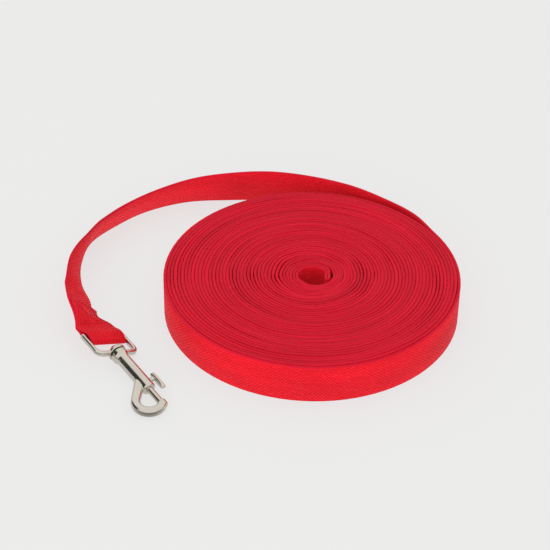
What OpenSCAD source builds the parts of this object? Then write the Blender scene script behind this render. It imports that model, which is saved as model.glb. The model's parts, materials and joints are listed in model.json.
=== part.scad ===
// Training leash: ten metres of flat webbing wound on edge into a round coil, with the outer end
// led round to a swivel bolt snap. Millimetres, +Z up; the coil's axis stands on the floor at the
// origin. The snap is drawn in its own frame: X runs from the swivel eye's crossbar to the hook.

/* [Webbing] */
// Width of the webbing, which is also the coil's height
web_w = 20; // [16:0.5:26]
// Thickness of the webbing
web_t = 1.4; // [1:0.1:2]

/* [Coil] */
// Outer radius of the wound coil
coil_r = 72.5; // [60:0.5:95]
// Radius of the hole left in the middle of the coil
coil_hole_r = 7.5; // [5:0.5:10]
// Outer radius of the flattened hand loop, wound in the middle of the coil
hand_loop_r = 15.5; // [14:0.5:24]
// Number of stitches in each row that closes the hand loop
hand_stitches = 5; // [3:1:8]

/* [Sewn end] */
// Length of the webbing's doubled end, from its cut edge to the start of the loop
sewn_l = 16; // [13:0.5:20]
// Distance from the crossbar to the place where the two layers part
part_l = 8; // [6:0.5:12]
// Distance from the crossbar to the outside of the fold
fold_l = 6.5; // [5.5:0.5:8]
// Distance of the stitch rows from the edges of the webbing
stitch_edge = 2.5; // [1.5:0.5:4]
// Length of one stitch
stitch_l = 3.2; // [2:0.1:5]
// Thickness of the sewing thread
thread_d = 0.6; // [0.3:0.1:0.9]

/* [Swivel eye] */
// Thickness of the crossbar and the eye's arms
arm_t = 2.6; // [2:0.1:3.4]
// Width of the eye's arms
arm_w = 1.9; // [1.6:0.1:3]
// Gap between the webbing and each arm
side_gap = 0.3; // [0.2:0.1:0.8]
// Distance from the crossbar to the outer face of the eye's base
eye_l = 15.2; // [14.5:0.1:20]
// Thickness of the eye's base, along the snap
base_l = 2.4; // [2:0.1:3]
// Diameter of the boss that the swivel post turns in
boss_d = 9; // [8:0.1:10]
// Depth of the recess in the boss that the barrel's collar sits over
recess = 0.8; // [0.4:0.1:1.2]
// Tilt of the eye, with one arm lying on the floor
eye_tilt = 22; // [10:1:30]

/* [Swivel post] */
// Diameter of the swivel post
post_d = 3; // [2.4:0.1:3.6]
// Diameter of the post's head, inside the eye
post_head_d = 5; // [4:0.1:6]
// Length of the post's plug, pressed into the barrel
plug_l = 4.5; // [3:0.5:6]

/* [Barrel] */
// Outer diameter of the barrel
barrel_d = 6.6; // [6.2:0.1:8]
// Length of the barrel, from its collar's face to its nose
barrel_l = 28; // [26:0.5:36]
// Diameter of the collar at the swivel end
collar_d = 8.2; // [7.4:0.1:9]
// Length of the collar
collar_l = 3; // [2:0.5:4]
// Diameter of the bore that the bolt's plunger and spring run in
bore_d = 4.4; // [4.2:0.1:5.2]
// Thickness of the nose, ahead of the bore
nose_l = 3.2; // [2.5:0.1:4.5]

/* [Hook] */
// Thickness of the hook's rod
hook_d = 4.4; // [3.6:0.1:5]
// Thickness of the hook where it grows out of the barrel
root_d = 5.2; // [4.6:0.1:5.8]
// Radius of the hook's bend, to the middle of the rod
hook_r = 6.2; // [5.8:0.1:8]
// Distance from the barrel's nose to the bend's centre
hook_ahead = 7; // [6:0.1:9]
// Distance of the bend's centre from the barrel's axis
hook_side = 4.6; // [4:0.1:5.4]

/* [Bolt] */
// Diameter of the bolt's rod
rod_d = 3.2; // [2.6:0.1:3.6]
// Length of the plunger behind the rod
plunger_l = 6.4; // [5:0.2:8]
// How far the bolt draws back
travel = 8; // [5:0.5:9]
// Length of the thumb stud's tab
tab_l = 11; // [8:0.5:13]
// Width of the tab
tab_w = 3.8; // [3:0.1:5]
// Thickness of the tab
tab_t = 2.4; // [1.8:0.1:3.2]
// Diameter of the tab's neck
neck_d = 2.1; // [1.6:0.1:2.6]
// Gap between the barrel and the tab
tab_gap = 1.8; // [1:0.1:2.4]

/* [Spring] */
// Thickness of the spring's wire
wire_d = 0.5; // [0.3:0.05:0.6]
// Number of turns in the spring
spring_turns = 7; // [5:1:8]

/* [Fits] */
// Radial clearance of each running fit
run_gap = 0.06; // [0.02:0.01:0.1]
// Gap between the eye's boss and the barrel's collar
swivel_gap = 0.4; // [0.3:0.1:0.8]

/* [Hidden] */
$fn = 48;

red = "crimson";
dark_red = "firebrick";
nickel = "gainsboro";
steel = "silver";

// The webbing's way from the coil to the snap: the gap outside the coil, the angle round the coil's
// axis, and the lean of the webbing, outward from upright, at each point of its lower edge.
route = [
    [-0.7, 30, 0], [2, 45, 0], [4, 60, 0], [8.5, 75, 0], [15, 90, -3], [23, 103, -8],
    [30, 115, -13], [39, 126, -22], [45.5, 137, -28], [49, 147, -28], [51.5, 156, -27],
    [48, 165, -14], [42.5, 173, 11], [36, 180, 33], [33.5, 187, 37]
];
// Where the end loop's edge nearest the coil stands over the crossbar, in the same two measures.
loop_gap = 23.2;
loop_angle = 197.3;
// Where the snap points.
heading = -53;

eye_half = web_w / 2 + side_gap + arm_w;
eye_corner = 4;

// Places along the snap, from the crossbar.
boss_in = 1.4;
head_l = 1.2;
boss_x = eye_l - base_l - boss_in;
boss_face = eye_l - recess;
collar_x = boss_face + swivel_gap;
nose_x = collar_x + barrel_l;
bore_end = nose_x - nose_l;
bend_x = nose_x + hook_ahead;
tip_angle = asin(hook_side / hook_r);
root_angle = -130;
tip_x = bend_x + hook_r * cos(tip_angle);
tip_d = hook_d + 0.2;
seat_x = tip_x - 0.9;
plunger_x = bore_end - 0.1 - plunger_l;
neck_x = plunger_x + plunger_l - neck_d / 2 - 0.8;
spring_x = collar_x + plug_l;

// The sewn end's frame: X along the snap, Y across the webbing, Z out of its upper face.
x_dir = [cos(heading), sin(heading), 0];
y_dir = [-sin(heading) * cos(eye_tilt), cos(heading) * cos(eye_tilt), -sin(eye_tilt)];
z_dir = cross(x_dir, y_dir);

// The eye's lower corner rests on the floor and so does the hook, or the barrel if it is thick.
// The snap droops between them by its fall over each millimetre of its length.
arm_low = eye_half * sin(eye_tilt) + arm_t / 2 * cos(eye_tilt);
hook_fall = (arm_low - tip_d / 2) / (bend_x + hook_r - eye_l + eye_corner);
barrel_fall = (arm_low - barrel_d / 2) / (nose_x - eye_l + eye_corner);
fall = min(hook_fall, barrel_fall);
droop = asin(fall / cos(eye_tilt));
crossbar = [
    (coil_r + loop_gap) * cos(loop_angle) - web_w / 2 * y_dir[0],
    (coil_r + loop_gap) * sin(loop_angle) - web_w / 2 * y_dir[1],
    arm_low + (eye_l - eye_corner) * fall + 0.05
];

// Sizes that follow from the fits.
post_bore_d = post_d + 2 * run_gap;
rod_bore_d = rod_d + 2 * run_gap;
plunger_d = bore_d - 2 * run_gap;
slot_w = neck_d + 0.3;
tab_y = barrel_d / 2 + tab_gap;

function route_row(r) = [
    (coil_r + r[0]) * cos(r[1]), (coil_r + r[0]) * sin(r[1]), web_t / 2 * abs(sin(r[2])), r[2]
];
function end_row(x) = concat(
    crossbar - x * x_dir - web_t / 2 * z_dir + web_w / 2 * y_dir, 90 - eye_tilt
);
way = concat([for (r = route) route_row(r)], [end_row(part_l), end_row(0)]);
last = len(way) - 2;

function way_row(i) = i < 0 ? 2 * way[0] - way[1] : way[min(i, last + 1)];
function blend(a, b, c, d, u) =
    (2 * b + (c - a) * u + (2 * a - 5 * b + 4 * c - d) * u * u + (3 * b - a - 3 * c + d) * u * u * u) / 2;
function way_at(s) =
    let (i = min(floor(s), last - 1))
    blend(way_row(i - 1), way_row(i), way_row(i + 1), way_row(i + 2), s - i);
function flat_dir(v) = [v[0], v[1], 0] / norm([v[0], v[1]]);
function heading_at(s) = s >= last ? x_dir : flat_dir(way_at(s + 0.02) - way_at(s - 0.02));

// The point of the webbing at s: across its width by a, and out from the coil by b.
function web_point(s, a, b) =
    let (p = way_at(s), t = heading_at(s), out = [t[1], -t[0], 0], up = [0, 0, 1])
    [p[0], p[1], p[2]]
    + a * (sin(p[3]) * out + cos(p[3]) * up)
    + b * (cos(p[3]) * out - sin(p[3]) * up);

// The webbing's section, with its four corners taken off.
edge_cut = 0.3;
function web_section(low, high) = [
    [edge_cut, low], [web_w - edge_cut, low], [web_w, low + edge_cut], [web_w, high - edge_cut],
    [web_w - edge_cut, high], [edge_cut, high], [0, high - edge_cut], [0, low + edge_cut]
];

// A closed solid through rings that all have the same number of points.
module skin(rings) {
    n = len(rings[0]);
    m = len(rings);
    points = [for (r = rings) each r];
    sides = [
        for (i = [0:m - 2], j = [0:n - 1])
            let (a = i * n + j, b = i * n + (j + 1) % n)
            each [[a, a + n, b + n], [a, b + n, b]]
    ];
    ends = [
        for (j = [1:n - 2])
            each [[0, j, j + 1], [(m - 1) * n, (m - 1) * n + j + 1, (m - 1) * n + j]]
    ];
    polyhedron(points, concat(sides, ends), convexity = 6);
}

// A round rod from p to q.
module rod(p, q, d) {
    v = q - p;
    l = norm(v);
    translate(p)
        rotate([0, acos(v[2] / l), atan2(v[1], v[0])])
            cylinder(h = l, d = d, $fn = 16);
}

module in_strap() {
    translate(crossbar) rotate([0, 0, heading]) rotate([-eye_tilt, 0, 0]) children();
}

module in_eye() {
    in_strap() rotate([0, droop, 0]) children();
}

// The snap is swivelled back level, so its hook lies flat.
module in_snap() {
    in_eye() rotate([eye_tilt, 0, 0]) children();
}

// A cylinder along the snap, from one place to another.
module along(from, to, d, d2 = 0) {
    translate([from, 0, 0])
        rotate([0, 90, 0])
            cylinder(h = to - from, d1 = d, d2 = d2 > 0 ? d2 : d);
}

// A turned solid about the snap's axis, from [place along it, radius] points.
module turned(points) {
    rotate([0, 90, 0])
        rotate_extrude()
            polygon([for (p = points) [p[1], p[0]]]);
}

module ring_of(r_in, r_out, h) {
    rotate_extrude($fn = 120)
        translate([r_in, 0])
            square([r_out - r_in, h]);
}

// ---------------------------------------------------------------- webbing

module webbing_coil() {
    color(red) ring_of(hand_loop_r, coil_r, web_w);
}

module hand_loop() {
    color(red) ring_of(coil_hole_r, hand_loop_r, web_w);
}

// Two rows of thread through the layers where the hand loop's end is sewn down.
module hand_loop_stitching() {
    row_gap = (web_w - 2 * stitch_edge) / (hand_stitches - 1);
    color(dark_red)
        for (a = [-20, 20], i = [0:hand_stitches - 1])
            rotate([0, 0, a])
                translate([hand_loop_r - 2 * web_t, 0, stitch_edge + i * row_gap])
                    rotate([0, 90, 0])
                        cylinder(h = 3 * web_t, d = thread_d, $fn = 16);
}

module webbing_tail() {
    rings_per_row = 5;
    color(red)
        skin([
            for (i = [0:last * rings_per_row])
                [for (q = web_section(-web_t / 2, web_t / 2)) web_point(i / rings_per_row, q[0], q[1])]
        ]);
}

// Where on the way the doubled end starts.
// The cut runs square across the webbing, so both of its edges are the same length from the loop.
function stretch_l(s, a) = norm(web_point(s, a, 0) - web_point(s - 1, a, 0));
function sewn_s(a) =
    let (near = stretch_l(last, a), far = stretch_l(last - 1, a))
    sewn_l < near ? last - sewn_l / near : last - 1 - (sewn_l - near) / far;
function sewn_at(v, a) = sewn_s(a) + (last - sewn_s(a)) * v;
function sewn_point(v, a, b) = web_point(sewn_at(v, a), a, b);

module webbing_sewn_layer() {
    rings = 8;
    color(red)
        skin([
            for (i = [0:rings])
                [for (q = web_section(-1.5 * web_t, -web_t / 2)) sewn_point(i / rings, q[0], q[1])]
        ]);
}

// The slack loop round the crossbar, in which the two layers part and meet in a fold.
module webbing_end_loop() {
    fold_r = web_t + 1;
    fold_x = fold_l - fold_r;
    bar_half = arm_t / 2 + 0.25;
    color(red)
        in_strap()
            rotate([90, 0, 0])
                translate([0, 0, -web_w / 2])
                    linear_extrude(web_w)
                        difference() {
                            union() {
                                polygon([
                                    [-part_l, -web_t], [0, -bar_half - web_t], [fold_x, -fold_r],
                                    [fold_x, fold_r], [0, bar_half + web_t], [-part_l, web_t]
                                ]);
                                translate([fold_x, 0]) circle(fold_r);
                            }
                            polygon([
                                [-part_l + 0.5, 0], [0, -bar_half], [fold_x, web_t - fold_r],
                                [fold_x, fold_r - web_t], [0, bar_half]
                            ]);
                            translate([fold_x, 0]) circle(fold_r - web_t);
                        }
}

// A box of stitches with a cross in it, on both faces of the doubled end.
module end_stitching() {
    near = 0.1;
    far = 0.92;
    right = stitch_edge;
    left = web_w - stitch_edge;
    lines = [
        [[near, right], [far, right]], [[near, left], [far, left]],
        [[near, right], [near, left]], [[far, right], [far, left]],
        [[near, right], [far, left]], [[near, left], [far, right]]
    ];
    color(dark_red)
        for (line = lines, side = [-1.5 * web_t, web_t / 2])
            let (
                p = line[0],
                v = line[1] - p,
                long = norm(sewn_point(p[0] + v[0], p[1] + v[1], side) - sewn_point(p[0], p[1], side)),
                count = max(2, round(long / stitch_l))
            )
            for (i = [0:count - 1])
                let (a = p + v * (i + 0.12) / count, b = p + v * (i + 0.88) / count)
                rod(sewn_point(a[0], a[1], side), sewn_point(b[0], b[1], side), thread_d);
}

// ---------------------------------------------------------------- swivel eye

module rounded_rect(x0, x1, half, r) {
    translate([x0, -half + r]) square([x1 - x0, 2 * (half - r)]);
    translate([x0, -half]) square([x1 - x0 - r, 2 * half]);
    for (s = [-1, 1])
        translate([x1 - r, s * (half - r)]) circle(r);
}

module swivel_eye() {
    window = eye_half - arm_w;
    color(nickel)
        in_eye()
            difference() {
                union() {
                    translate([0, 0, -arm_t / 2])
                        linear_extrude(arm_t)
                            difference() {
                                rounded_rect(0, eye_l, eye_half, eye_corner);
                                translate([-1, 0])
                                    rounded_rect(0, eye_l - base_l + 1, window, eye_corner - 1.5);
                            }
                    translate([0, eye_half, 0]) rotate([90, 0, 0]) cylinder(h = 2 * eye_half, d = arm_t);
                    along(boss_x, boss_x + boss_in, post_head_d + 1, boss_d);
                    along(boss_x + boss_in, boss_face, boss_d);
                }
                along(boss_face, eye_l + 1, boss_d + 0.8);
                along(boss_x - 1, boss_face + 1, post_bore_d);
            }
}

// The post's round head sits inside the eye, and its plug is pressed into the barrel.
module swivel_post() {
    color(steel)
        in_snap() {
            along(boss_x - 0.1 - head_l, boss_x - 0.1, post_head_d - 1.6, post_head_d);
            along(boss_x - 0.1, collar_x + 0.5, post_d);
            along(collar_x + 0.5, collar_x + plug_l, bore_d);
        }
}

// ---------------------------------------------------------------- snap body

module hook() {
    root = [bend_x + hook_r * cos(root_angle), -hook_side + hook_r * sin(root_angle)];
    root_dir = [sin(root_angle), -cos(root_angle)];
    root_l = (-0.6 - root[1]) / root_dir[1];
    translate([bend_x, -hook_side, 0])
        rotate([0, 0, root_angle])
            rotate_extrude(angle = tip_angle - root_angle)
                translate([hook_r, 0]) circle(d = hook_d);
    translate([root[0], root[1], 0])
        rotate([0, 0, atan2(root_dir[1], root_dir[0])])
            along(-0.6, root_l, hook_d + 0.16, root_d);
    turned([
        [tip_x - 1.5, 0], [tip_x - 1.5, tip_d / 2 - 0.3], [tip_x - 1.2, tip_d / 2],
        [tip_x + 1.2, tip_d / 2], [tip_x + 2, tip_d / 2 - 0.8], [tip_x + 2, 0]
    ]);
}

module snap_body() {
    slot_from = neck_x - travel - slot_w / 2;
    slot_to = neck_x + slot_w / 2;
    color(nickel)
        in_snap()
            difference() {
                union() {
                    turned([
                        [collar_x, 0], [collar_x, collar_d / 2 - 0.4], [collar_x + 0.4, collar_d / 2],
                        [collar_x + collar_l, collar_d / 2], [collar_x + collar_l + 1.4, barrel_d / 2],
                        [nose_x - 0.6, barrel_d / 2], [nose_x, barrel_d / 2 - 0.6], [nose_x, 0]
                    ]);
                    hook();
                }
                turned([
                    [collar_x - 1, 0], [collar_x - 1, bore_d / 2], [bore_end, bore_d / 2],
                    [bore_end, rod_bore_d / 2], [seat_x + 0.1, rod_bore_d / 2], [seat_x + 0.1, 0]
                ]);
                translate([slot_from, 0, -slot_w / 2])
                    cube([slot_to - slot_from, barrel_d, slot_w]);
            }
}

// ---------------------------------------------------------------- bolt

module bolt() {
    color(steel)
        in_snap()
            difference() {
                union() {
                    along(plunger_x, plunger_x + plunger_l, plunger_d);
                    along(plunger_x + plunger_l - 0.1, seat_x, rod_d);
                }
                translate([neck_x, 0, 0]) rotate([-90, 0, 0]) cylinder(h = bore_d, d = neck_d);
            }
}

// The thumb stud: a neck through the barrel's slot, with a dished tab along the barrel.
module thumb_stud() {
    tab_x = neck_x + 2;
    dish_r = 9;
    color(nickel)
        in_snap() {
            translate([neck_x, 0.02, 0])
                rotate([-90, 0, 0])
                    cylinder(h = tab_y + 0.5, d = neck_d);
            difference() {
                translate([tab_x, tab_y, 0])
                    rotate([-90, 0, 0])
                        linear_extrude(tab_t) {
                            square([tab_l - tab_w, tab_w], center = true);
                            for (s = [-1, 1])
                                translate([s * (tab_l - tab_w) / 2, 0]) circle(d = tab_w);
                        }
                translate([tab_x, tab_y + tab_t + dish_r - 0.7, -tab_w])
                    cylinder(h = 2 * tab_w, r = dish_r);
            }
        }
}

// The coil spring behind the plunger.
module bolt_spring() {
    steps = 12;
    sides = 6;
    free = plunger_x - spring_x - 0.2;
    r = (bore_d - wire_d) / 2 - 0.15;
    pitch = (free - wire_d) / spring_turns;
    color(steel)
        in_snap()
            skin([
                for (i = [0:spring_turns * steps])
                    let (a = i * 360 / steps, x = spring_x + 0.1 + wire_d / 2 + pitch * i / steps)
                    [
                        for (j = [0:sides - 1])
                            let (b = j * 360 / sides, q = r + wire_d / 2 * cos(b))
                            [x + wire_d / 2 * sin(b), q * cos(a), q * sin(a)]
                    ]
            ]);
}

webbing_coil();
hand_loop();
hand_loop_stitching();
webbing_tail();
webbing_sewn_layer();
webbing_end_loop();
end_stitching();
swivel_eye();
swivel_post();
snap_body();
bolt();
thumb_stud();
bolt_spring();
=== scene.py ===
# %% [markdown]
# # A training leash wound into a coil
# The object is about ten metres of flat red webbing, wound on edge into a round coil. Its outer end
# runs round to a nickel-plated swivel bolt snap, and its inner end is sewn into a hand loop. The CAD
# model gives every place and size; this lesson adds the surfaces, one real piece after another.

# %% Load the CAD frame
import json
import math

import bpy
import numpy as np
from mathutils import Matrix, Vector, noise


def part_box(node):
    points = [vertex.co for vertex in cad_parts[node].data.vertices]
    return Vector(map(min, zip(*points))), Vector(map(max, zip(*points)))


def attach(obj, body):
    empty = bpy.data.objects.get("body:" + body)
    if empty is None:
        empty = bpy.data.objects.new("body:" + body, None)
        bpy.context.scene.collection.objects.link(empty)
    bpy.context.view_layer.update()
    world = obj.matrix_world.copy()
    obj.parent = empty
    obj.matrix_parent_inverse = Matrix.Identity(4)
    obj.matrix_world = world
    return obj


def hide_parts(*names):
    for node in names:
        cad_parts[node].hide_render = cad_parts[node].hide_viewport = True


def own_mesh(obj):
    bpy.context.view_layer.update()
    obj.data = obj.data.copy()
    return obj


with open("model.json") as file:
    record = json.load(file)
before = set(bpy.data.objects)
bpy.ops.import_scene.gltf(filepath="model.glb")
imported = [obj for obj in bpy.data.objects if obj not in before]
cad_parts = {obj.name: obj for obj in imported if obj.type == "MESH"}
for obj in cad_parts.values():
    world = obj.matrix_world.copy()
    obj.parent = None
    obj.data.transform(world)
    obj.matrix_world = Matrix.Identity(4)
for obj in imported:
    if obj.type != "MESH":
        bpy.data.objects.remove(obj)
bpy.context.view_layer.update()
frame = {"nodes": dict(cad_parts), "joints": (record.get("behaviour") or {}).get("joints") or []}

MM = 0.001

# %% [markdown]
# ## The camera
# The leash lies on a floor and is seen from above, 36 degrees up, through a long lens. A long lens
# keeps the coil's ellipse true, without the swelling that a short lens gives the near side.

# %% Camera
CAMERA_TARGET = Vector((-17.55, 25.67, 0)) * MM
CAMERA_DISTANCE = 870 * MM
CAMERA_ELEVATION = math.radians(36.34)
CAMERA_ROLL = math.radians(0.86)
SENSOR_MM = 36
LENS_MM = 113.05

camera = bpy.data.objects.new("camera", bpy.data.cameras.new("camera"))
bpy.context.scene.collection.objects.link(camera)
camera.data.sensor_width = SENSOR_MM
camera.data.lens = LENS_MM
back = Vector((0, -math.cos(CAMERA_ELEVATION), math.sin(CAMERA_ELEVATION)))
camera.matrix_world = (
    Matrix.Translation(CAMERA_TARGET + back * CAMERA_DISTANCE)
    @ Matrix.Rotation(math.pi / 2 - CAMERA_ELEVATION, 4, "X")
    @ Matrix.Rotation(CAMERA_ROLL, 4, "Z")
)
bpy.context.scene.camera = camera
# Standard keeps a strong dye strong; the default view greys it, as film does.
bpy.context.scene.view_settings.view_transform = "Standard"
print("camera at", [round(v, 3) for v in camera.matrix_world.translation])

# %% [markdown]
# ## Helpers for meshes
# Nearly every piece here is a loft: a row of rings, each a closed loop of points, joined side to
# side. Webbing, thread, wire and turned metal are all lofts with different rings.


# %% Loft and mesh helpers
def loft(rings):
    """The vertices and faces of a closed solid through rings of equal length."""
    rings = np.asarray(rings, float)
    count, size = rings.shape[:2]
    across = np.arange(size)
    step = (across + 1) % size
    starts = np.arange(count - 1)[:, None] * size
    sides = np.stack(
        [starts + across, starts + step, starts + size + step, starts + size + across], -1
    ).reshape(-1, 4)
    last = (count - 1) * size
    faces = sides.tolist() + [across[::-1].tolist(), (across + last).tolist()]
    return rings.reshape(-1, 3), faces


def make_object(name, verts, faces, material):
    """A smooth-shaded mesh object from points in millimetres."""
    mesh = bpy.data.meshes.new(name)
    mesh.from_pydata((np.asarray(verts) * MM).tolist(), [], faces)
    mesh.shade_smooth()
    mesh.materials.append(material)
    obj = bpy.data.objects.new(name, mesh)
    bpy.context.scene.collection.objects.link(obj)
    return obj


def unit(v):
    v = np.asarray(v, float)
    return v / np.linalg.norm(v, axis=-1, keepdims=True)


def tube(points, radii, sides=8):
    """Rings of a round tube along points; a tapering radius closes its ends."""
    points = np.asarray(points, float)
    tangents = unit(np.gradient(points, axis=0))
    helper = np.array([0.12, 0.07, 0.99])
    side = unit(np.cross(tangents, helper))
    other = np.cross(tangents, side)
    angles = np.linspace(0, 2 * np.pi, sides, endpoint=False)
    circle = np.cos(angles)[:, None, None] * side + np.sin(angles)[:, None, None] * other
    radii = np.broadcast_to(radii, len(points))
    return (points + circle * radii[:, None]).transpose(1, 0, 2)


def join_lofts(parts):
    """One list of vertices and faces from several lofts."""
    verts, faces, start = [], [], 0
    for part_verts, part_faces in parts:
        verts.append(part_verts)
        faces += [[i + start for i in face] for face in part_faces]
        start += len(part_verts)
    return np.concatenate(verts), faces


bar_verts, bar_faces = loft([[(x, 0, 0), (x, 1, 0), (x, 0, 1)] for x in (0, 1)])
print("a three-sided bar has", len(bar_verts), "points and", len(bar_faces), "faces")

# %% [markdown]
# ## Helpers for materials
# Colours are written as sRGB hex, the way a dye chart gives them, and one function turns them into
# the linear values that the renderer works in. One small function adds a node, sets it and links it.


# %% Material helpers
def hex_colour(code):
    values = [int(code[i : i + 2], 16) / 255 for i in (1, 3, 5)]
    return (*(v / 12.92 if v < 0.04045 else ((v + 0.055) / 1.055) ** 2.4 for v in values), 1)


def add(tree, kind, settings, inputs):
    """Adds a node; each input is a value or a socket to link from."""
    node = tree.nodes.new(kind)
    for key, value in settings.items():
        setattr(node, key, value)
    for key, value in inputs.items():
        if isinstance(value, bpy.types.NodeSocket):
            tree.links.new(value, node.inputs[key])
        else:
            node.inputs[key].default_value = value
    return node


def new_material(name):
    """An empty material and its node tree."""
    material = bpy.data.materials.new(name)
    material.use_nodes = True
    material.node_tree.nodes.clear()
    return material, material.node_tree


def finish_material(tree, shader):
    add(tree, "ShaderNodeOutputMaterial", {}, {"Surface": shader.outputs[0]})


print("#808080 is", round(hex_colour("#808080")[0], 3), "in linear light")

# %% [markdown]
# ## Woven webbing
# Leash webbing is nylon yarn, dyed red and woven flat. Bundles of warp yarn run along it, about 0.85
# mm apart, and each shows as a row of seeds 1.95 mm long where it passes over the weft; next-door
# rows are half a seed out of step. The mesh carries its own coordinates, in millimetres along and
# across the webbing, so the weave follows every twist of the strip.

# %% Webbing material
WEB_W = 20.0
WEB_T = 1.4
WARP_MM = 0.85
SEED_MM = 1.95
SEED_POWER = 0.6
SELVEDGE_FROM, SELVEDGE_TO = 0.9, 0.35
SELVEDGE_HEIGHT = 0.75
FIBRE_STRETCH = (0.7, 5, 5)
PATCH_STRETCH = (0.02, 0.08, 0.3)
# The pink glint colour is a painted highlight.
PAINTED_GLINT_HEX, SHEEN_HEX = "#F0505E", "#F04050"
FIBRE_SHARE = 0.35
WEAVE_DEPTH = 0.16 * MM
MATH = "ShaderNodeMath"


def webbing_material(name, seed_hex, gap_shade_hex, edge_shade_hex):
    material, tree = new_material(name)
    place = add(tree, "ShaderNodeAttribute", {"attribute_name": "strip_mm"}, {})
    axes = add(tree, "ShaderNodeSeparateXYZ", {}, {0: place.outputs["Vector"]})
    along, across = axes.outputs[0], axes.outputs[1]
    row = add(tree, MATH, {"operation": "DIVIDE"}, {0: across, 1: WARP_MM})
    row_number = add(tree, MATH, {"operation": "FLOOR"}, {0: row.outputs[0]})
    odd = add(tree, MATH, {"operation": "MODULO"}, {0: row_number.outputs[0], 1: 2.0})
    step = add(tree, MATH, {"operation": "MULTIPLY"}, {0: odd.outputs[0], 1: 0.5})
    seed = add(
        tree, MATH, {"operation": "MULTIPLY_ADD"}, {0: along, 1: 1 / SEED_MM, 2: step.outputs[0]}
    )
    waves = []
    for value in (row, seed):
        part = add(tree, MATH, {"operation": "FRACT"}, {0: value.outputs[0]})
        angle = add(tree, MATH, {"operation": "MULTIPLY"}, {0: part.outputs[0], 1: math.pi})
        waves.append(add(tree, MATH, {"operation": "SINE"}, {0: angle.outputs[0]}))
    swell = add(
        tree, MATH, {"operation": "MULTIPLY"}, {0: waves[0].outputs[0], 1: waves[1].outputs[0]}
    )
    seeds = add(tree, MATH, {"operation": "POWER"}, {0: swell.outputs[0], 1: SEED_POWER})
    # The selvedge is bound smooth, so the seeds fade out over the last millimetre of the width.
    off_middle = add(tree, MATH, {"operation": "SUBTRACT"}, {0: across, 1: WEB_W / 2})
    reach = add(tree, MATH, {"operation": "ABSOLUTE"}, {0: off_middle.outputs[0]})
    edge = add(
        tree,
        "ShaderNodeMapRange",
        {"interpolation_type": "SMOOTHSTEP"},
        {
            "Value": reach.outputs[0],
            "From Min": WEB_W / 2 - SELVEDGE_FROM,
            "From Max": WEB_W / 2 - SELVEDGE_TO,
        },
    )
    height = add(
        tree,
        "ShaderNodeMix",
        {"data_type": "FLOAT"},
        {0: edge.outputs[0], 2: seeds.outputs[0], 3: SELVEDGE_HEIGHT},
    )
    # Single filaments are far too fine to show, so they are drawn 0.2 mm wide, as faint streaks.
    stretched = add(
        tree, "ShaderNodeVectorMath", {"operation": "MULTIPLY"}, {
            0: place.outputs["Vector"], 1: FIBRE_STRETCH
        }
    )
    fibre = add(
        tree,
        "ShaderNodeTexNoise",
        {},
        {"Vector": stretched.outputs[0], "Scale": 1.0, "Detail": 3.0},
    )
    # Dye takes unevenly over a hand's width.
    slow = add(
        tree, "ShaderNodeVectorMath", {"operation": "MULTIPLY"}, {
            0: place.outputs["Vector"], 1: PATCH_STRETCH
        }
    )
    patch = add(
        tree, "ShaderNodeTexNoise", {}, {"Vector": slow.outputs[0], "Scale": 1.0, "Detail": 2.0}
    )
    # The gaps between seeds take a darker red: painted shade in the weave's hollows.
    colour = add(
        tree,
        "ShaderNodeMix",
        {"data_type": "RGBA"},
        {0: height.outputs[0], 6: hex_colour(gap_shade_hex), 7: hex_colour(seed_hex)},
    )
    # Pink specks where the fibre noise is high are painted highlights, for filaments that catch the
    # light.
    painted_glint = add(
        tree,
        "ShaderNodeMapRange",
        {"interpolation_type": "SMOOTHSTEP"},
        {"Value": fibre.outputs[0], "From Min": 0.58, "From Max": 0.74, "To Max": 0.3},
    )
    painted_glint_colour = add(
        tree,
        "ShaderNodeMix",
        {"data_type": "RGBA"},
        {0: painted_glint.outputs[0], 6: colour.outputs[2], 7: hex_colour(PAINTED_GLINT_HEX)},
    )
    # The edges, which form the top of the coil, take a darker red: painted shade on the coil's top.
    shaded_edges = add(
        tree,
        "ShaderNodeMix",
        {"data_type": "RGBA"},
        {0: edge.outputs[0], 6: painted_glint_colour.outputs[2], 7: hex_colour(edge_shade_hex)},
    )
    tone = add(
        tree,
        "ShaderNodeMapRange",
        {},
        {
            "Value": patch.outputs[0],
            "From Min": 0.3,
            "From Max": 0.7,
            "To Min": 0.86,
            "To Max": 1.12,
        },
    )
    streak = add(
        tree,
        "ShaderNodeMapRange",
        {},
        {
            "Value": fibre.outputs[0],
            "From Min": 0.25,
            "From Max": 0.75,
            "To Min": 0.86,
            "To Max": 1.14,
        },
    )
    shade = add(tree, MATH, {"operation": "MULTIPLY"}, {0: tone.outputs[0], 1: streak.outputs[0]})
    dyed = add(
        tree, "ShaderNodeHueSaturation", {}, {"Color": shaded_edges.outputs[2], "Value": shade.outputs[0]}
    )
    rough = add(
        tree,
        "ShaderNodeMapRange",
        {},
        {"Value": height.outputs[0], "To Min": 0.85, "To Max": 0.6},
    )
    relief = add(
        tree, MATH, {"operation": "MULTIPLY_ADD"}, {
            0: fibre.outputs[0], 1: FIBRE_SHARE, 2: height.outputs[0]
        }
    )
    bump = add(
        tree, "ShaderNodeBump", {}, {
            "Strength": 0.55, "Distance": WEAVE_DEPTH, "Height": relief.outputs[0]
        }
    )
    shader = add(
        tree,
        "ShaderNodeBsdfPrincipled",
        {},
        {
            "Base Color": dyed.outputs[0],
            "Roughness": rough.outputs[0],
            "Normal": bump.outputs[0],
            "Sheen Weight": 0.12,
            "Sheen Roughness": 0.5,
            "Sheen Tint": hex_colour(SHEEN_HEX),
            "Specular IOR Level": 0.12,
        },
    )
    finish_material(tree, shader)
    return material


# The edge colour is painted shade on the top of the coil.
# The gap colour is painted shade in the weave's hollows.
nylon_webbing = webbing_material("red nylon webbing", "#E11124", "#A40615", "#BF0C27")
print("material:", nylon_webbing.name)

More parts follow.
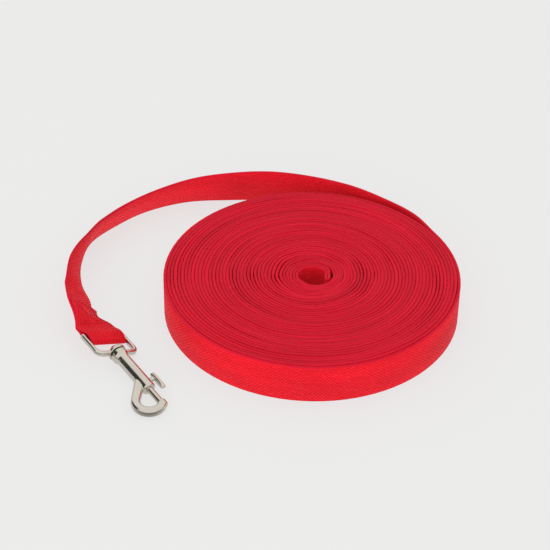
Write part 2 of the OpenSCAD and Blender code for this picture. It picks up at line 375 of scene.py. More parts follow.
# %% [markdown]
# ## The webbing's way
# The strip starts at the cut end of the hand loop, in the middle of the coil. It runs in, folds, runs
# out again beside itself, and then winds outward turn after turn. The outer turn leaves the coil at
# the back right, stands on edge round the back, leans over and lies down at the snap. The route's
# points are the same as in the CAD source: a gap outside the coil, an angle round it and a lean.

# %% Sizes of the webbing and its route
PITCH = 1.68
coil_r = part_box("webbing_coil")[1][0] / MM
hand_loop_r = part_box("hand_loop")[1][0] / MM
ROUTE = [
    (-0.7, 30, 0), (2, 45, 0), (4, 60, 0), (8.5, 75, 0), (15, 90, -3), (23, 103, -8),
    (30, 115, -13), (39, 126, -22), (45.5, 137, -28), (49, 147, -28), (51.5, 156, -27),
    (48, 165, -14), (42.5, 173, 11), (36, 180, 33), (33.5, 187, 37),
]
PART_L = 8.0
SEWN_L = 16.0
EYE_TILT = math.radians(22)

joints = {joint["name"]: joint for joint in frame["joints"]}
crossbar = np.array(joints["eye_fold"]["pos_m"]) / MM
strap_y = -np.array(joints["eye_fold"]["axis"], float)
snap_x = np.array(joints["snap_swivel"]["axis"], float)
strap_x = unit(np.array([snap_x[0], snap_x[1], 0]))
strap_z = np.cross(strap_x, strap_y)


def route_row(gap, angle, lean):
    r, a = coil_r + gap, math.radians(angle)
    lift = WEB_T / 2 * abs(math.sin(math.radians(lean)))
    return [r * math.cos(a), r * math.sin(a), lift, lean]


def end_row(x):
    place = crossbar - x * strap_x - WEB_T / 2 * strap_z + WEB_W / 2 * strap_y
    return [*place, 90 - math.degrees(EYE_TILT)]


WAY = np.array([route_row(*row) for row in ROUTE] + [end_row(PART_L), end_row(0)])
LAST = len(WAY) - 2
print("crossbar at", crossbar.round(1), "mm; route rows:", len(WAY))


# %% Points on the webbing between the coil and the snap
def way_row(i):
    return 2 * WAY[0] - WAY[1] if i < 0 else WAY[min(i, LAST + 1)]


def way_at(s):
    i = min(math.floor(s), LAST - 1)
    u = s - i
    a, b, c, d = (way_row(i + k) for k in (-1, 0, 1, 2))
    return (
        2 * b + (c - a) * u + (2 * a - 5 * b + 4 * c - d) * u**2 + (3 * b - a - 3 * c + d) * u**3
    ) / 2


def web_point(s, a, b):
    """The point at s along the way, a across the width and b out from the coil."""
    place = way_at(s)
    if s >= LAST:
        ahead = strap_x
    else:
        ahead = way_at(s + 0.02) - way_at(s - 0.02)
        ahead = unit(np.array([ahead[0], ahead[1], 0]))
        # The last stretch swings round to square up with the snap.
        turn_in = max(0.0, s - LAST + 1) ** 2
        ahead = unit((1 - turn_in) * ahead + turn_in * strap_x)
    out = np.array([ahead[1], -ahead[0], 0])
    up = np.array([0, 0, 1])
    lean = math.radians(place[3])
    return (
        place[:3]
        + a * (math.sin(lean) * out + math.cos(lean) * up)
        + b * (math.cos(lean) * out - math.sin(lean) * up)
    )


def sewn_at(v, a):
    """Where the doubled end lies: v runs from its cut edge to the loop."""
    near = np.linalg.norm(web_point(LAST, a, 0) - web_point(LAST - 1, a, 0))
    far = np.linalg.norm(web_point(LAST - 1, a, 0) - web_point(LAST - 2, a, 0))
    start = LAST - SEWN_L / near if SEWN_L < near else LAST - 1 - (SEWN_L - near) / far
    return start + (LAST - start) * v


print("halfway along, the webbing's edge is at", way_at(LAST / 2)[:3].round(1), "mm")

# %% [markdown]
# ## Winding the coil
# Real turns never lie quite true. Each one rides up or down a little and presses unevenly on its
# neighbour, which gives the dark lines between turns their broken look. Smooth noise moves whole
# groups of turns in and out, and lifts each turn by itself, by fractions of a millimetre.

# %% The middle line of the wound strip
SECTION = np.array(
    [
        (0.4, -0.5), (WEB_W / 2, -0.5), (WEB_W - 0.4, -0.5), (WEB_W - 0.08, -0.38),
        (WEB_W, 0), (WEB_W - 0.08, 0.38), (WEB_W - 0.4, 0.5), (WEB_W / 2, 0.5),
        (0.4, 0.5), (0.08, 0.38), (0, 0), (0.08, -0.38),
    ]
) * (1, WEB_T)
EXIT_ANGLE = 30
OUTER_R = coil_r - WEB_T / 2
INNER_R = hand_loop_r + 0.6
LAYER_GAP = 1.42
LOOP_STEP = 1.2
LOOP_TURN = 1052
PEEL = 1.3
OFF_CENTRE = (1.3, -1.3)
COIL_STEP, LOOP_ANGLE_STEP = 4.0, 6.0
FOLD_REACH, FOLD_HALF = 1.6, 0.75


def settle(r, degrees):
    """How far a turn is pushed out and up from its true place."""
    a = math.radians(degrees)
    fade = min(1.0, max(0.0, (OUTER_R - r) / 3))
    slack = 0.34 + 0.3 * min(1.0, max(0.0, (24 - r) / 8))
    push = noise.noise(Vector((r / 7, 2 * math.cos(a), 2 * math.sin(a)))) * slack
    rise = noise.noise(Vector((degrees / 50, 3.1, r / 5))) * 0.4 + 0.32
    rise += noise.noise(Vector((r / 9, 1.3 * math.cos(a), 1.3 * math.sin(a) + 7))) * 0.3
    return push * fade, max(0.0, rise) * fade


def fullness(r, degrees):
    """A turn's thickness as a share of the webbing's; thin ones leave an open line."""
    a = math.radians(degrees)
    lines = np.interp(
        r, [17, 20, 41, 45, 54, 58, 67, 70], [1.0, 1.0, 1.0, 0.2, 0.2, 1.0, 1.0, 0.3]
    )
    open_here = noise.noise(Vector((r * 0.9, 1.2 * math.cos(a), 1.2 * math.sin(a) + 3)))
    return 1.19 - 0.24 * lines * min(1.0, max(0.0, 0.4 + 2.2 * open_here))


turns = (OUTER_R - INNER_R) / PITCH
spiral = [
    (OUTER_R - PITCH * back_angle / 360, EXIT_ANGLE - back_angle)
    for back_angle in np.arange(turns * 360, 0, -COIL_STEP)
]
loop_start = EXIT_ANGLE - turns * 360


def loop_r(k):
    """The hand loop's radius after k degrees inward; it steps in where it passes its own sewn end."""
    steps = sum(np.interp(k, [360 * n - 45, 360 * n + 45], [0, 1]) for n in (1, 2, 3))
    peel = PEEL * max(0.0, (k - LOOP_TURN + 110) / 110) ** 2
    return INNER_R - PITCH * k / 360 - LOOP_STEP * steps - peel


outer_layer = [(loop_r(k), loop_start - k) for k in np.arange(LOOP_TURN, 0, -LOOP_ANGLE_STEP)]
inner_layer = [
    (loop_r(k) - LAYER_GAP, loop_start - k) for k in np.arange(0, LOOP_TURN, LOOP_ANGLE_STEP)
]


def polar(r, degrees):
    push, rise = settle(r, degrees)
    a = math.radians(degrees)
    share = min(1.0, max(0.0, (21 - r) / 12))
    x, y = (r + push) * math.cos(a), (r + push) * math.sin(a)
    return [x + share * OFF_CENTRE[0], y + share * OFF_CENTRE[1], rise]


fold_r, fold_angle = inner_layer[-1][0] + LAYER_GAP / 2, inner_layer[-1][1] - LOOP_ANGLE_STEP
fold_middle = np.array(polar(fold_r, fold_angle))
fold_out = np.array([math.cos(math.radians(fold_angle)), math.sin(math.radians(fold_angle)), 0])
fold_ahead = np.array([fold_out[1], -fold_out[0], 0])
hand_fold = [
    fold_middle
    + FOLD_REACH * math.sin(t) * fold_ahead * 1.5
    - FOLD_HALF * math.cos(t) * fold_out * (1 + 0.5 * math.sin(t))
    for t in np.linspace(0.2, math.pi - 0.2, 9)
]
full = np.array(
    [1.0] * (len(inner_layer) + len(hand_fold) + len(outer_layer))
    + [1 + (fullness(*p) - 1) * min(1, (OUTER_R - p[0]) / PITCH) for p in spiral]
)
wound = np.array(
    [polar(*p) for p in inner_layer]
    + [p.tolist() for p in hand_fold]
    + [polar(*p) for p in outer_layer + spiral]
)
print("turns:", round(turns, 1), "points:", len(wound))

# %% [markdown]
# ## One strip from end to end
# The same ring of twelve points runs from the hand loop's cut end to the doubled end at the snap, so
# the whole leash is one mesh, as it is one piece of webbing. A curve with a bevel could make it too,
# but the lean and the uneven thickness of real turns are easier to give ring by ring.

# %% Rings of the whole strip
ahead = np.gradient(wound, axis=0)
ahead[:, 2] = 0
ahead = unit(ahead)
out = np.stack([ahead[:, 1], -ahead[:, 0], 0 * ahead[:, 0]], -1)
up = np.array([0, 0, 1.0])
thickness = SECTION[None, :, 1:] * full[:, None, None]
coil_rings = wound[:, None] + SECTION[None, :, :1] * up + thickness * out[:, None]

STEPS = 10
tail_rings = [
    [web_point(i / STEPS, a, b) for a, b in SECTION] for i in range(LAST * STEPS + 1)
]
FOLD = [
    (-6.4, -0.78), (-4.6, -0.95), (-3, -1.35), (-1.4, -1.85), (0.2, -2.06), (1.8, -1.9), (3.2, -1.45),
    (4.4, -1.05), (5.2, -0.85), (5.75, -0.4), (5.75, 0.4), (5.2, 0.85), (4.4, 1.05), (3.2, 1.45),
    (1.8, 1.9), (0.2, 2.06), (-1.4, 1.85), (-3, 1.35), (-4.6, 0.95), (-6.4, 0.78),
]
fold_line = np.array([crossbar + x * strap_x + z * strap_z for x, z in FOLD])
fold_ahead = unit(np.gradient(fold_line, axis=0))
fold_b = np.cross(fold_ahead, -strap_y)
fold_rings = (
    fold_line[:, None]
    + (WEB_W / 2 - SECTION[None, :, :1]) * strap_y
    + SECTION[None, :, 1:] * fold_b[:, None]
)
# The doubled end's cut corner is stiff, and lifts off a little.
CORNER_LIFT = 1.1


def corner_lift(v, a):
    return CORNER_LIFT * max(0.0, 1 - v / 0.5) ** 1.6 * (1 - 0.8 * a / WEB_W)


sewn_rings = [
    [web_point(sewn_at(v, a), a, -WEB_T - b - corner_lift(v, a)) for a, b in SECTION]
    for v in np.linspace(1, 0, 21)
]
rings = np.concatenate([coil_rings, tail_rings, fold_rings, sewn_rings])
middle = rings.mean(axis=1)
run = np.concatenate([[0], np.cumsum(np.linalg.norm(np.diff(middle, axis=0), axis=1))])
strip_mm = np.concatenate(
    [
        np.broadcast_to(run[:, None, None], (len(rings), len(SECTION), 1)),
        np.broadcast_to(SECTION, (len(rings), len(SECTION), 2)),
    ],
    axis=2,
)
webbing = make_object("webbing_strip", *loft(rings), nylon_webbing)
webbing.data.attributes.new("strip_mm", "FLOAT_VECTOR", "POINT").data.foreach_set(
    "vector", strip_mm.reshape(-1)
)
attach(webbing, "leash")
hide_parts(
    "webbing_coil", "hand_loop", "webbing_tail", "webbing_sewn_layer", "webbing_end_loop"
)
print("webbing is", round(run[-1] * MM, 2), "m long, rings:", len(rings))

# %% [markdown]
# ## Sewing thread
# The two ends of the webbing are sewn with bonded polyester thread, dyed to match. Each stitch is a
# short piece of thread that comes up, lies along the webbing and goes down again, so it is drawn as
# a tube that narrows where it dives.

# %% Thread material
thread_material, thread_tree = new_material("bonded polyester thread")
thread_place = add(thread_tree, "ShaderNodeTexCoord", {}, {})
thread_noise = add(
    thread_tree,
    "ShaderNodeTexNoise",
    {},
    {"Vector": thread_place.outputs["Object"], "Scale": 1 / (0.5 * MM), "Detail": 4.0},
)
thread_colour = add(
    thread_tree,
    "ShaderNodeMix",
    {"data_type": "RGBA"},
    {0: thread_noise.outputs[0], 6: hex_colour("#A80C1E"), 7: hex_colour("#DC1C34")},
)
thread_bump = add(
    thread_tree,
    "ShaderNodeBump",
    {},
    {"Strength": 0.4, "Distance": 0.08 * MM, "Height": thread_noise.outputs[0]},
)
finish_material(
    thread_tree,
    add(
        thread_tree,
        "ShaderNodeBsdfPrincipled",
        {},
        {
            "Base Color": thread_colour.outputs[2],
            "Roughness": 0.5,
            "Normal": thread_bump.outputs[0],
            "Specular IOR Level": 0.25,
        },
    ),
)
print("material:", thread_material.name)

# %% Stitches of the box with a cross in it, and of the hand loop
THREAD_D = 0.6
STITCH_L = 3.2
STITCH_EDGE = 2.5
LOOP_STITCH_L, LOOP_THREAD_D = 2.6, 0.4
LOOP_SEAM = 20
LOW, HIGH = 0.1, 0.92
NEAR_EDGE, FAR_EDGE = STITCH_EDGE, WEB_W - STITCH_EDGE
CORNERS = [(LOW, NEAR_EDGE), (HIGH, NEAR_EDGE), (HIGH, FAR_EDGE), (LOW, FAR_EDGE)]
LINES = [(0, 1), (1, 2), (2, 3), (3, 0), (0, 2), (1, 3)]


def stitch(points, d):
    """A thread through surface points, narrowing at both ends."""
    shape = np.sin(np.linspace(0.35, math.pi - 0.35, len(points)))
    return loft(tube(points, d / 2 * shape**0.5))


box_stitches = []
for start, end in LINES:
    for side, sign in ((-1.5 * WEB_T, -1), (0.5 * WEB_T, 1)):
        p, q = np.array(CORNERS[start]), np.array(CORNERS[end])
        ends = [web_point(sewn_at(v, a), a, side) for v, a in (p, q)]
        count = max(2, round(float(np.linalg.norm(ends[1] - ends[0])) / STITCH_L))
        for i in range(count):
            shares = np.linspace((i + 0.1) / count, (i + 0.9) / count, 7)
            height = 0.12 * np.sin(np.linspace(0, math.pi, 7))
            places = [p + (q - p) * u for u in shares]
            points = [
                web_point(
                    sewn_at(v, a), a, side + sign * (h + (corner_lift(v, a) if sign < 0 else 0))
                )
                for (v, a), h in zip(places, height)
            ]
            box_stitches.append(stitch(points, THREAD_D))
sewn_thread = make_object("box_stitching", *join_lofts(box_stitches), thread_material)
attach(sewn_thread, "leash")
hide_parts("end_stitching")

loop_stitches = []
seam_radii = (INNER_R + 0.8, INNER_R - LAYER_GAP - 0.7)
for r, angle in [(r, angle) for r in seam_radii for angle in (-LOOP_SEAM, LOOP_SEAM)]:
    for low in np.arange(STITCH_EDGE, WEB_W - STITCH_EDGE - 2, STITCH_L):
        x, y, _ = polar(r - 0.3, angle)
        loop_stitches.append(
            stitch([(x, y, z) for z in np.linspace(low, low + LOOP_STITCH_L, 6)], LOOP_THREAD_D)
        )
loop_thread = make_object("hand_loop_stitches", *join_lofts(loop_stitches), thread_material)
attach(loop_thread, "leash")
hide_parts("hand_loop_stitching")
print("stitches:", len(box_stitches) + len(loop_stitches))

# %% [markdown]
# ## Nickel plate
# The snap is cast zinc, tumbled smooth and plated with bright nickel. Nickel is a warm white metal.
# The casting leaves a very shallow waviness, and handling leaves hairlines and duller patches. The
# post and the spring are steel wire drawn through a die, which leaves them greyer and duller than
# the plate, so that they read as separate pieces.


# %% Metal materials
PATCH_MM, HAIR_L_MM, HAIR_MM = 6, 4, 0.3
CASTING_DEPTH = 0.1 * MM


def plated_metal(name, light_hex, dark_hex, smooth, dull, wave_mm):
    material, tree = new_material(name)
    place = add(tree, "ShaderNodeTexCoord", {}, {}).outputs["Object"]
    waves = add(
        tree,
        "ShaderNodeTexNoise",
        {},
        {"Vector": place, "Scale": 1 / (wave_mm * MM), "Detail": 2.0},
    )
    patches = add(
        tree,
        "ShaderNodeTexNoise",
        {},
        {"Vector": place, "Scale": 1 / (PATCH_MM * MM), "Detail": 5.0},
    )
    long_way = add(
        tree, "ShaderNodeVectorMath", {"operation": "MULTIPLY"}, {
            0: place, 1: (1 / (HAIR_L_MM * MM), 1 / (HAIR_MM * MM), 1 / (HAIR_MM * MM))
        }
    )
    hairlines = add(
        tree,
        "ShaderNodeTexNoise",
        {},
        {"Vector": long_way.outputs[0], "Scale": 1.0, "Detail": 2.0},
    )
    colour = add(
        tree,
        "ShaderNodeMix",
        {"data_type": "RGBA"},
        {0: patches.outputs[0], 6: hex_colour(dark_hex), 7: hex_colour(light_hex)},
    )
    mixed = add(
        tree, MATH, {"operation": "MULTIPLY_ADD"}, {
            0: hairlines.outputs[0], 1: 0.5, 2: patches.outputs[0]
        }
    )
    rough = add(
        tree,
        "ShaderNodeMapRange",
        {},
        {
            "Value": mixed.outputs[0],
            "From Min": 0.4,
            "From Max": 1.1,
            "To Min": smooth,
            "To Max": dull,
        },
    )
    relief = add(
        tree, MATH, {"operation": "MULTIPLY_ADD"}, {
            0: hairlines.outputs[0], 1: 0.06, 2: waves.outputs[0]
        }
    )
    bump = add(
        tree,
        "ShaderNodeBump",
        {},
        {"Strength": 0.06, "Distance": CASTING_DEPTH, "Height": relief.outputs[0]},
    )
    shader = add(
        tree,
        "ShaderNodeBsdfPrincipled",
        {},
        {
            "Base Color": colour.outputs[2],
            "Metallic": 1.0,
            "Roughness": rough.outputs[0],
            "Normal": bump.outputs[0],
        },
    )
    finish_material(tree, shader)
    return material


nickel = plated_metal("bright nickel plate", "#DEDAD2", "#C9C3B8", 0.12, 0.26, 2.5)
steel = plated_metal("drawn spring steel", "#C8C6C2", "#A9A7A3", 0.22, 0.4, 0.8)
for node_name, metal in (("swivel_post", steel), ("bolt", nickel)):
    mesh = frame["nodes"][node_name].data
    mesh.materials.clear()
    mesh.materials.append(metal)
print("materials:", nickel.name, "and", steel.name)

# %% [markdown]
# ## Cast pieces
# A cast piece has no sharp joins: its arms, boss and barrel flow into each other. To get that, the
# simple solids are joined, turned into one skin of even small cells, and relaxed a little. Bores and
# slots are cut after that, so their edges stay crisp, as a drill leaves them.

# %% The snap's own frame
eye_z = np.cross(snap_x, strap_y)
CAST_CELL, STUD_CELL = 0.2, 0.16
roll_cos, roll_sin = math.cos(EYE_TILT), math.sin(EYE_TILT)
snap_y = roll_cos * strap_y + roll_sin * eye_z
snap_z = np.cross(snap_x, snap_y)


def placed(points, y_axis, z_axis):
    """Points from the snap's frame, with X from the crossbar to the hook, to the world."""
    points = np.asarray(points, float)
    return crossbar + points[..., :1] * snap_x + points[..., 1:2] * y_axis + points[..., 2:] * z_axis


def turned(profile, sides=64):
    """A loft turned about the snap's axis, from points of place along it and radius."""
    angles = np.linspace(0, 2 * np.pi, sides, endpoint=False)
    rings = [
        [(x, max(r, 0.01) * math.cos(t), max(r, 0.01) * math.sin(t)) for t in angles]
        for x, r in profile
    ]
    return loft(rings)


def cast(name, solids, cutters, cell, passes, frame_axes, material):
    """Solids joined into one relaxed skin, then cut."""
    verts, faces = join_lofts(solids)
    obj = make_object(name, verts, faces, material)
    remesh = obj.modifiers.new("skin", "REMESH")
    remesh.mode = "VOXEL"
    remesh.voxel_size = cell * MM
    relax = obj.modifiers.new("relax", "SMOOTH")
    relax.factor = 0.5
    relax.iterations = passes
    made = []
    for i, (cut_verts, cut_faces) in enumerate(cutters):
        cutter = make_object(f"{name}_cutter_{i}", cut_verts, cut_faces, material)
        cut = obj.modifiers.new("cut", "BOOLEAN")
        cut.object = cutter
        cut.operation = "DIFFERENCE"
        cut.solver = "EXACT"
        made.append(cutter)
    graph = bpy.context.evaluated_depsgraph_get()
    mesh = bpy.data.meshes.new_from_object(obj.evaluated_get(graph))
    points = np.array([v.co for v in mesh.vertices]) / MM
    mesh.vertices.foreach_set("co", (placed(points, *frame_axes) * MM).reshape(-1))
    mesh.shade_smooth()
    mesh.set_sharp_from_angle(angle=math.radians(38))
    mesh.materials.clear()
    mesh.materials.append(material)
    mesh.update()
    obj.modifiers.clear()
    obj.data = mesh
    for cutter in made:
        bpy.data.objects.remove(cutter)
    print(name, "has", len(mesh.polygons), "faces")
    return obj


def swept(points, widths, heights, sides=24, power=2.6):
    """Rounded bars along points in the XY plane: widths lie in the plane, heights along Z."""
    points = np.asarray(points, float)
    tangents = unit(np.gradient(points, axis=0))
    side = np.stack([-tangents[:, 1], tangents[:, 0], 0 * tangents[:, 0]], -1)
    angles = np.linspace(0, 2 * np.pi, sides, endpoint=False)
    c, s = np.cos(angles), np.sin(angles)
    c, s = np.sign(c) * np.abs(c) ** (2 / power), np.sign(s) * np.abs(s) ** (2 / power)
    widths = np.broadcast_to(widths, len(points))[:, None, None] / 2
    heights = np.broadcast_to(heights, len(points))[:, None, None] / 2
    in_plane = c[None, :, None] * widths * side[:, None]
    return loft(points[:, None] + in_plane + s[None, :, None] * heights * up)


print("the snap points along", snap_x.round(2))

# %% [markdown]
# ## The swivel eye
# A flat loop of metal with a round crossbar for the webbing to turn on. Its base swells into a boss
# that the swivel post turns in, with a shallow recess for the barrel's collar.

# %% Swivel eye
ARM_T, ARM_W, EYE_HALF, EYE_L, BASE_L, BOSS_D = 2.6, 1.9, 12.2, 15.2, 2.4, 9.0
EYE_CORNER = 4.0
POST_D, RUN_GAP = 3.0, 0.06
boss_from, boss_face = EYE_L - BASE_L - 1.4, EYE_L - 0.8

arm_y, base_x, bend = EYE_HALF - ARM_W / 2, EYE_L - BASE_L / 2, EYE_CORNER - 1
half_loop = [(x, arm_y, 0) for x in np.linspace(-0.6, base_x - bend, 8)]
half_loop += [
    (base_x - bend + bend * math.sin(t), arm_y - bend + bend * math.cos(t), 0)
    for t in np.linspace(0.2, math.pi / 2, 8)
]
half_loop += [(base_x, y, 0) for y in np.linspace(arm_y - bend - 1.2, 1.0, 5)]
eye_loop = half_loop + [(x, -y, z) for x, y, z in reversed(half_loop)]
loop_widths = [
    ARM_W + (BASE_L - ARM_W) * min(1, max(0, (x - 8) / 5)) for x, y, z in eye_loop
]
crossbar_line = [(0, y, 0) for y in np.linspace(-EYE_HALF, EYE_HALF, 9)]
crossbar_ends = np.clip((EYE_HALF + 0.05 - np.abs([p[1] for p in crossbar_line])) / 0.3, 0.7, 1)
eye_solids = [
    swept(eye_loop, loop_widths, ARM_T, power=3),
    loft(tube(crossbar_line, ARM_T / 2 * crossbar_ends, 24)),
    turned([
        (boss_from, 0), (boss_from, 2.6), (boss_from + 0.5, 3.5),
        (boss_from + 1.4, BOSS_D / 2 - 0.2),
        (boss_from + 1.9, BOSS_D / 2), (boss_face - 0.3, BOSS_D / 2),
        (boss_face, BOSS_D / 2 - 0.3),
        (boss_face, 0),
    ]),
]
eye_cutters = [
    turned(
        [
            (boss_from - 2, 0),
            (boss_from - 2, POST_D / 2 + RUN_GAP),
            (EYE_L + 1, POST_D / 2 + RUN_GAP),
            (EYE_L + 1, 0),
        ]
    ),
    turned(
        [
            (boss_face, 0),
            (boss_face, BOSS_D / 2 + 0.4),
            (EYE_L + 1, BOSS_D / 2 + 0.4),
            (EYE_L + 1, 0),
        ]
    ),
]
eye = cast("cast_swivel_eye", eye_solids, eye_cutters, CAST_CELL, 4, (strap_y, eye_z), nickel)
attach(eye, "eye")
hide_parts("swivel_eye")

# %% [markdown]
# ## The snap's body
# One casting makes the collar, the barrel and the hook. The hook leaves the side of the barrel as a
# thick root, thins round the bend and ends in a nose with a seat for the bolt. The bolt runs in the
# barrel, and its thumb stud slides in a slot.

# %% Snap body
COLLAR_X, NOSE_X, BARREL_D, COLLAR_D, COLLAR_L = 14.8, 42.8, 6.6, 8.2, 3.0
BORE_D, BORE_END, ROD_D = 4.4, 39.6, 3.2
HOOK_D, ROOT_D, HOOK_R, BEND_X, HOOK_SIDE = 4.4, 5.2, 6.2, 49.8, 4.6
ROOT_ANGLE = math.radians(-130)
TIP_ANGLE = math.asin(HOOK_SIDE / HOOK_R)
TIP_X = BEND_X + HOOK_R * math.cos(TIP_ANGLE)
NECK_X, NECK_D, TRAVEL = 37.65, 2.1, 8.0

root = np.array(
    [BEND_X + HOOK_R * math.cos(ROOT_ANGLE), -HOOK_SIDE + HOOK_R * math.sin(ROOT_ANGLE), 0]
)
root_way = np.array([math.sin(ROOT_ANGLE), -math.cos(ROOT_ANGLE), 0])
hook_line = [root + root_way * l for l in np.linspace(12.6, 1.2, 8)]
hook_line += [
    (BEND_X + HOOK_R * math.cos(t), -HOOK_SIDE + HOOK_R * math.sin(t), 0)
    for t in np.linspace(ROOT_ANGLE, TIP_ANGLE, 28)
]
share = np.linspace(0, 1, len(hook_line))
hook_widths = np.interp(share, [0, 0.2, 1], [ROOT_D, HOOK_D + 0.16, HOOK_D])
body_solids = [
    turned([
        (COLLAR_X, 0), (COLLAR_X, COLLAR_D / 2 - 0.35), (COLLAR_X + 0.35, COLLAR_D / 2),
        (COLLAR_X + COLLAR_L - 0.3, COLLAR_D / 2), (COLLAR_X + COLLAR_L + 0.5, 3.7),
        (COLLAR_X + COLLAR_L + 1.6, BARREL_D / 2), (NOSE_X - 0.7, BARREL_D / 2),
        (NOSE_X, BARREL_D / 2 - 0.8),
        (NOSE_X, 0),
    ]),
    swept(hook_line, hook_widths, HOOK_D, power=2.5),
    turned([
        (TIP_X - 1.5, 0), (TIP_X - 1.5, 2.0), (TIP_X - 1.2, 2.3), (TIP_X + 0.9, 2.3),
        (TIP_X + 1.6, 1.9), (TIP_X + 2, 1.2), (TIP_X + 2, 0),
    ]),
]
slot_from, slot_to, slot_half = NECK_X - TRAVEL - 1.2, NECK_X + 1.2, 1.2
slot_ring = [
    (slot_from, -slot_half), (slot_to, -slot_half), (slot_to, slot_half), (slot_from, slot_half)
]
body_cutters = [
    turned([
        (COLLAR_X - 1, 0), (COLLAR_X - 1, BORE_D / 2), (BORE_END, BORE_D / 2),
        (BORE_END, ROD_D / 2 + RUN_GAP), (TIP_X - 0.8, ROD_D / 2 + RUN_GAP), (TIP_X - 0.8, 0),
    ]),
    loft([[(x, y, z) for x, z in slot_ring[::-1]] for y in (0.5, 5)]),
]
body = cast("cast_snap_body", body_solids, body_cutters, CAST_CELL, 5, (snap_y, snap_z), nickel)
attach(body, "snap")
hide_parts("snap_body")

# %% [markdown]
# ## The thumb stud and the spring
# The stud is a small waisted tab on a neck, dished along its top for the thumb. The spring behind the
# bolt is music wire, drawn here as a fixed helix; in the real snap it is squeezed towards its fixed
# end as the bolt draws back.

# %% Thumb stud
TAB_X, TAB_Y, TAB_L, TAB_W, TAB_T = NECK_X + 2, 5.1, 11.0, 3.8, 2.4
stations = np.linspace(-TAB_L / 2, TAB_L / 2, 25)
tab_rings = []
for x in stations:
    taper = math.sqrt(max(0.02, 1 - (abs(x) / (TAB_L / 2)) ** 3.2))
    dish = 0.5 * (1 - (x / (TAB_L / 2)) ** 2)
    angles = np.linspace(0, 2 * np.pi, 20, endpoint=False)
    z = TAB_W / 2 * taper * np.sign(np.cos(angles)) * np.abs(np.cos(angles)) ** 0.75
    y = TAB_T / 2 * np.sign(np.sin(angles)) * np.abs(np.sin(angles)) ** 0.75
    y = y * (0.75 + 0.25 * taper) - np.where(y > 0, dish * y / (TAB_T / 2), 0)
    tab_rings.append([(TAB_X + x, TAB_Y + TAB_T / 2 + dy, dz) for dy, dz in zip(y, z)])
neck = [(NECK_X, y, 0) for y in np.linspace(0.2, TAB_Y + 1, 8)]
neck_radii = NECK_D / 2 * np.interp(np.linspace(0, 1, 8), [0, 0.7, 1], [1, 1, 1.25])
stud = cast(
    "thumb_tab",
    [loft(tab_rings), loft(tube(neck, neck_radii, 24))],
    [],
    STUD_CELL,
    3,
    (snap_y, snap_z),
    nickel,
)
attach(stud, "bolt")
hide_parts("thumb_stud")

# %% Bolt spring
SPRING_FROM, SPRING_TO, WIRE_D, SPRING_R, SPRING_TURNS = 19.65, 32.75, 0.5, 1.8, 7
angles = np.linspace(0, SPRING_TURNS * 2 * np.pi, SPRING_TURNS * 24 + 1)
helix = np.stack(
    [
        np.linspace(SPRING_FROM, SPRING_TO, len(angles)),
        SPRING_R * np.cos(angles),
        SPRING_R * np.sin(angles),
    ],
    -1,
)
spring = make_object(
    "music_wire_spring", *loft(tube(placed(helix, snap_y, snap_z), WIRE_D / 2)), steel
)
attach(spring, "snap")
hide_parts("bolt_spring")
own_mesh(spring)

# %% [markdown]
# ## Floor and light
# A plain pale floor, lit from all round as in a light tent. A large soft panel in front gives the
# webbing its even red, and a weak one overhead helps on top; the metal mirrors neither. What it does
# mirror is staged: a black flag at the left, a tent that darkens towards the horizon and a dark front
# part of the floor, all three seen by reflections only. They draw the dark bands on the barrel.

# %% Floor
DARK_FROM_Y, DARK_TO_Y = -0.094, -0.078
FLOOR_SEEN, FLOOR_FILL = 0.97, 1.7
FLOOR_GLOW_SHARE = 0.85

floor_material, floor_tree = new_material("pale seamless paper")
floor_place = add(floor_tree, "ShaderNodeTexCoord", {}, {})
floor_grain = add(
    floor_tree, "ShaderNodeTexNoise", {}, {
        "Vector": floor_place.outputs["Object"], "Scale": 400.0, "Detail": 2.0
    }
)
floor_colour = add(
    floor_tree,
    "ShaderNodeMix",
    {"data_type": "RGBA"},
    {0: floor_grain.outputs[0], 6: hex_colour("#E9E9E9"), 7: hex_colour("#EDEDED")},
)
floor_paper = add(
    floor_tree,
    "ShaderNodeBsdfPrincipled",
    {},
    {"Base Color": floor_colour.outputs[2], "Roughness": 0.9, "Specular IOR Level": 0.1},
)
# Paper lit from behind all but loses its shadows. Its front part is made dark for mirror reflections
# only: this is staged, as a black card would be, to draw the dark band low on the polished barrel.
floor_axes = add(floor_tree, "ShaderNodeSeparateXYZ", {}, {0: floor_place.outputs["Object"]})
lit_half = add(
    floor_tree,
    "ShaderNodeMapRange",
    {"interpolation_type": "SMOOTHSTEP"},
    {
        "Value": floor_axes.outputs[1],
        "From Min": DARK_FROM_Y,
        "From Max": DARK_TO_Y,
        "To Min": 0.06,
        "To Max": 0.85,
    },
)
floor_rays = add(floor_tree, "ShaderNodeLightPath", {}, {})
floor_glow = add(
    floor_tree,
    "ShaderNodeMix",
    {"data_type": "FLOAT"},
    {0: floor_rays.outputs["Is Glossy Ray"], 2: FLOOR_SEEN, 3: lit_half.outputs[0]},
)
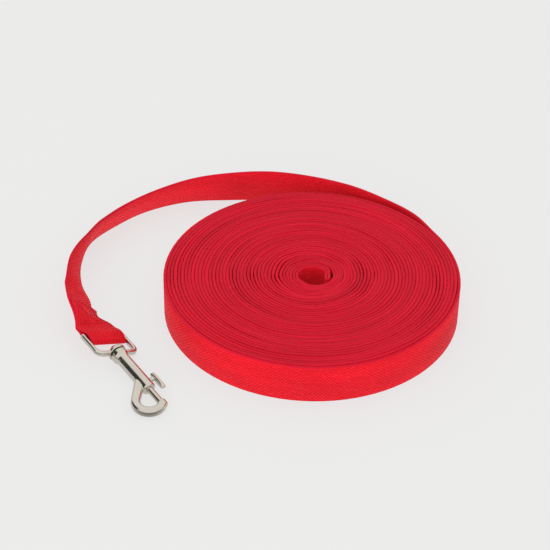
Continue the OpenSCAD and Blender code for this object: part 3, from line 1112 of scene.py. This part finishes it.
# It gives diffuse surfaces more light than the camera sees in it, which fills the faces of the
# webbing that lean towards it.
floor_fill = add(
    floor_tree,
    "ShaderNodeMix",
    {"data_type": "FLOAT"},
    {0: floor_rays.outputs["Is Diffuse Ray"], 2: floor_glow.outputs[0], 3: FLOOR_FILL},
)
floor_light = add(
    floor_tree, "ShaderNodeEmission", {}, {
        "Color": hex_colour("#EBEBEB"), "Strength": floor_fill.outputs[0]
    }
)
floor_mix = add(
    floor_tree, "ShaderNodeMixShader", {}, {
        0: FLOOR_GLOW_SHARE, 1: floor_paper.outputs[0], 2: floor_light.outputs[0]
    }
)
finish_material(floor_tree, floor_mix)
FLOOR_HALF, FLOOR_Z = 6000.0, -0.2
FLOOR_CORNERS = [(-1, -1), (1, -1), (1, 1), (-1, 1)]
floor = make_object(
    "floor",
    [(x * FLOOR_HALF, y * FLOOR_HALF, FLOOR_Z) for x, y in FLOOR_CORNERS],
    [[0, 1, 2, 3]],
    floor_material,
)
print("floor is", 2 * FLOOR_HALF * MM, "m wide")

# %% Lights
PANEL_SIZE = 1.2
FRONT_POWER, TOP_POWER = 11, 2
TENT_FILL = 1.04


def soft_panel(name, place, target, size, power, shows_in_metal):
    """A square soft light, in metres and watts."""
    light = bpy.data.objects.new(name, bpy.data.lights.new(name, "AREA"))
    bpy.context.scene.collection.objects.link(light)
    light.data.size = size
    light.data.energy = power
    light.location = place
    light.rotation_euler = (Vector(target) - Vector(place)).to_track_quat("-Z", "Y").to_euler()
    light.visible_glossy = shows_in_metal
    return light


soft_panel("front panel", (-0.3, -1.4, 0.36), (0, 0, 0), PANEL_SIZE, FRONT_POWER, False)
soft_panel("top panel", (0.2, 0.3, 1.5), (0, 0, 0), PANEL_SIZE, TOP_POWER, False)

world = bpy.data.worlds.new("light tent")
bpy.context.scene.world = world
world.use_nodes = True
tent = world.node_tree
tent.nodes.clear()
FLAG = (-0.9, 0.07, 0.43)
direction = add(tent, "ShaderNodeTexCoord", {}, {})
sky_axes = add(tent, "ShaderNodeSeparateXYZ", {}, {0: direction.outputs["Generated"]})
# The black flag at the left gives the barrel its long dark reflection.
flag = add(
    tent, "ShaderNodeVectorMath", {"operation": "DOT_PRODUCT"}, {
        0: direction.outputs["Generated"], 1: FLAG
    }
)
open_air = add(
    tent, "ShaderNodeMapRange", {"interpolation_type": "SMOOTHSTEP"},
    {
        "Value": flag.outputs["Value"],
        "From Min": 0.82,
        "From Max": 0.91,
        "To Min": 1.0,
        "To Max": 0.04,
    },
)
horizon = add(
    tent, "ShaderNodeMapRange", {"interpolation_type": "SMOOTHSTEP"},
    {
        "Value": sky_axes.outputs[2],
        "From Min": 0.0,
        "From Max": 0.4,
        "To Min": 0.45,
        "To Max": 0.95,
    },
)
mirrored = add(
    tent, MATH, {"operation": "MULTIPLY"}, {0: open_air.outputs[0], 1: horizon.outputs[0]}
)
rays = add(tent, "ShaderNodeLightPath", {}, {})
seen = add(
    tent, "ShaderNodeMix", {"data_type": "FLOAT"},
    {0: rays.outputs["Is Glossy Ray"], 2: TENT_FILL, 3: mirrored.outputs[0]},
)
tent_light = add(
    tent, "ShaderNodeBackground", {}, {"Color": hex_colour("#FFFDF9"), "Strength": seen.outputs[0]}
)
add(tent, "ShaderNodeOutputWorld", {}, {"Surface": tent_light.outputs[0]})
print("lights: 2 panels and a tent")
